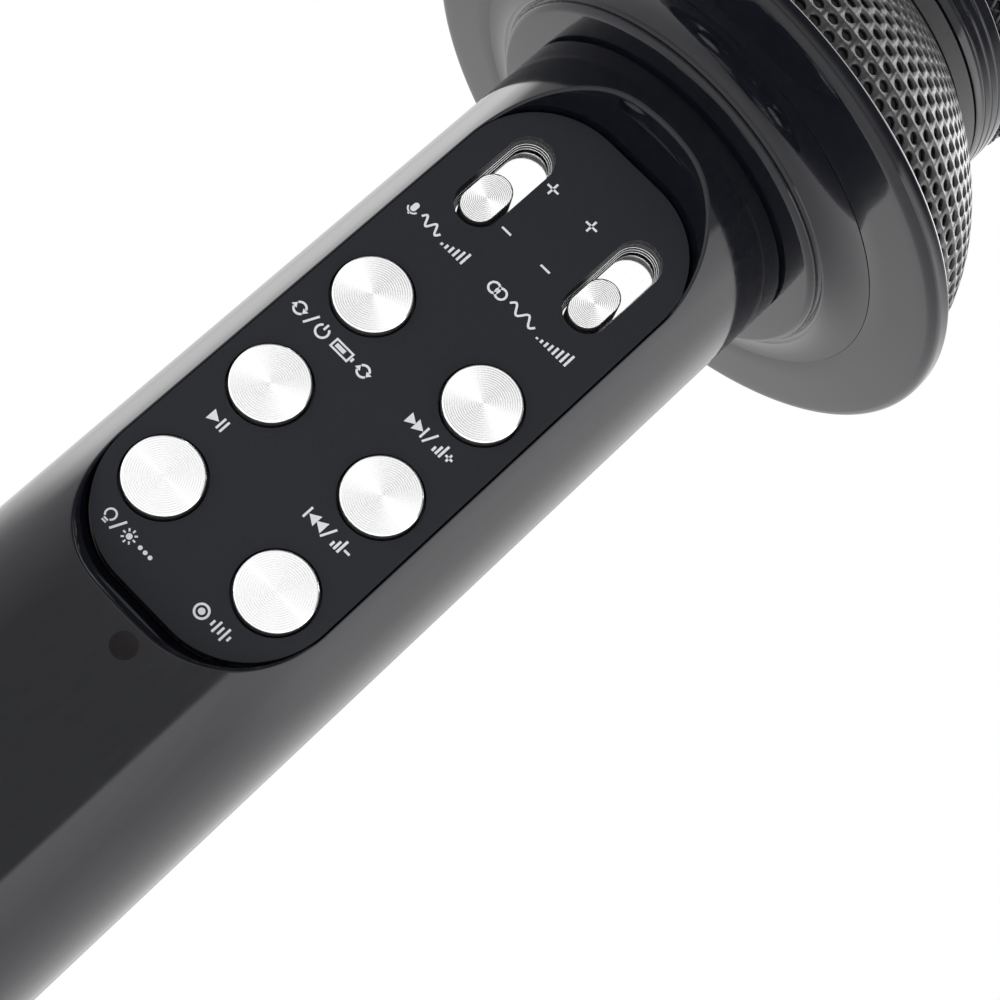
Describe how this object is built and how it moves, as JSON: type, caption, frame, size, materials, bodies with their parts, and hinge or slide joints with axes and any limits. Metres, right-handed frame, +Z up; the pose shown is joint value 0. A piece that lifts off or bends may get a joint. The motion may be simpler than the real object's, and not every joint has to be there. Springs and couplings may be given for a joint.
{
  "type": "karaoke microphone",
  "caption": "Handheld karaoke microphone with push buttons, volume sliders, a flared speaker rim and a ball mesh head that unscrews.",
  "frame": {"origin": "centre of the flat base that the microphone stands on", "axes": "+Z up the handle to the mesh head; the control panel faces -Y; +X is to the right when the panel is seen head up"},
  "size_m": [0.0814, 0.0814, 0.245],
  "materials": {
    "gloss_shell": "piano-black moulded plastic",
    "matte_panel": "fine-textured matte black",
    "inner_plastic": "plain black moulding",
    "panel_ink": "printed pale grey signs",
    "bright_chrome": "polished plating",
    "spun_metal": "spun concentric finish with a polished edge",
    "dark_trim": "polished black trim",
    "mesh_steel": "black coated steel mesh",
    "plain_steel": "plain steel",
    "circuit_board": "green solder mask",
    "magnet": "zinc plated",
    "battery_wrap": "shrink wrap",
    "wire_cover": "insulation",
    "lens_tint": "dark tinted window",
    "soft_rubber": "soft moulded rubber",
    "cone_paper": "pressed fibre cone",
    "copper_coil": "enamelled copper winding",
    "capsule_brass": "plain",
    "foam": "open-cell foam"
  },
  "bodies": {
    "handle": {"handle_front_shell": "gloss_shell", "handle_rear_shell": "gloss_shell", "bottom_cap": "gloss_shell", "shell_screws": "plain_steel", "indicator_lens": "lens_tint", "control_panel": "matte_panel", "mic_slot_liner": "bright_chrome", "effect_slot_liner": "bright_chrome", "main_board": "circuit_board", "tact_switches": "inner_plastic", "slider_pots": "plain_steel", "battery_cell": "battery_wrap", "battery_cradle": "inner_plastic", "port_board": "circuit_board", "charge_socket": "bright_chrome", "audio_jack": "inner_plastic", "card_socket": "plain_steel", "wire_loom": "wire_cover", "speaker_bowl": "gloss_shell", "rim_ring": "gloss_shell", "speaker_frame": "plain_steel", "speaker_magnet": "magnet", "speaker_surround": "soft_rubber", "speaker_grille": "mesh_steel", "head_support": "inner_plastic", "capsule_mount": "soft_rubber", "mic_capsule": "capsule_brass"},
    "key_power": {"button_power": "spun_metal"},
    "key_play": {"button_play": "spun_metal"},
    "key_light": {"button_light": "spun_metal"},
    "key_next": {"button_next": "spun_metal"},
    "key_previous": {"button_previous": "spun_metal"},
    "key_record": {"button_record": "spun_metal"},
    "mic_slider": {"mic_volume_knob": "spun_metal", "mic_slide_carrier": "bright_chrome"},
    "effect_slider": {"effect_volume_knob": "spun_metal", "effect_slide_carrier": "bright_chrome"},
    "diaphragm": {"speaker_cone": "cone_paper", "voice_coil": "copper_coil", "dust_cap": "cone_paper"},
    "head_lift": {"seal_ring": "soft_rubber"},
    "mesh_head": {"head_collar": "dark_trim", "lower_mesh": "mesh_steel", "mesh_band": "dark_trim", "upper_mesh": "mesh_steel", "foam_windscreen": "foam"}
  },
  "joints": [
    {"name": "press_power", "type": "slide", "parent": "handle", "child": "key_power", "axis": [0, 1, 0], "range_m": [0, 0.0005], "stiffness_N_per_m": 2000, "springref_m": -0.0003},
    {"name": "press_play", "type": "slide", "parent": "handle", "child": "key_play", "axis": [0, 1, 0], "range_m": [0, 0.0005], "stiffness_N_per_m": 2000, "springref_m": -0.0003},
    {"name": "press_light", "type": "slide", "parent": "handle", "child": "key_light", "axis": [0, 1, 0], "range_m": [0, 0.0005], "stiffness_N_per_m": 2000, "springref_m": -0.0003},
    {"name": "press_next", "type": "slide", "parent": "handle", "child": "key_next", "axis": [0, 1, 0], "range_m": [0, 0.0005], "stiffness_N_per_m": 2000, "springref_m": -0.0003},
    {"name": "press_previous", "type": "slide", "parent": "handle", "child": "key_previous", "axis": [0, 1, 0], "range_m": [0, 0.0005], "stiffness_N_per_m": 2000, "springref_m": -0.0003},
    {"name": "press_record", "type": "slide", "parent": "handle", "child": "key_record", "axis": [0, 1, 0], "range_m": [0, 0.0005], "stiffness_N_per_m": 2000, "springref_m": -0.0003},
    {"name": "mic_volume_slide", "type": "slide", "parent": "handle", "child": "mic_slider", "axis": [0, 0, 1], "range_m": [0, 0.006]},
    {"name": "effect_volume_slide", "type": "slide", "parent": "handle", "child": "effect_slider", "axis": [0, 0, 1], "range_m": [0, 0.006]},
    {"name": "cone_stroke", "type": "slide", "parent": "handle", "child": "diaphragm", "axis": [0, 0, 1], "range_m": [-0.0005, 0.0005], "stiffness_N_per_m": 1200},
    {"name": "head_rise", "type": "slide", "parent": "handle", "child": "head_lift", "axis": [0, 0, 1], "range_m": [0, 0.0045]},
    {"name": "head_unscrew", "type": "hinge", "parent": "head_lift", "child": "mesh_head", "pos_m": [0, 0, 0.185], "axis": [0, 0, 1], "range_deg": [0, 1080]}
  ],
  "couplings": [
    {"joint": "head_rise", "follows": "head_unscrew", "m_per_rad": 0.00023873}
  ]
}
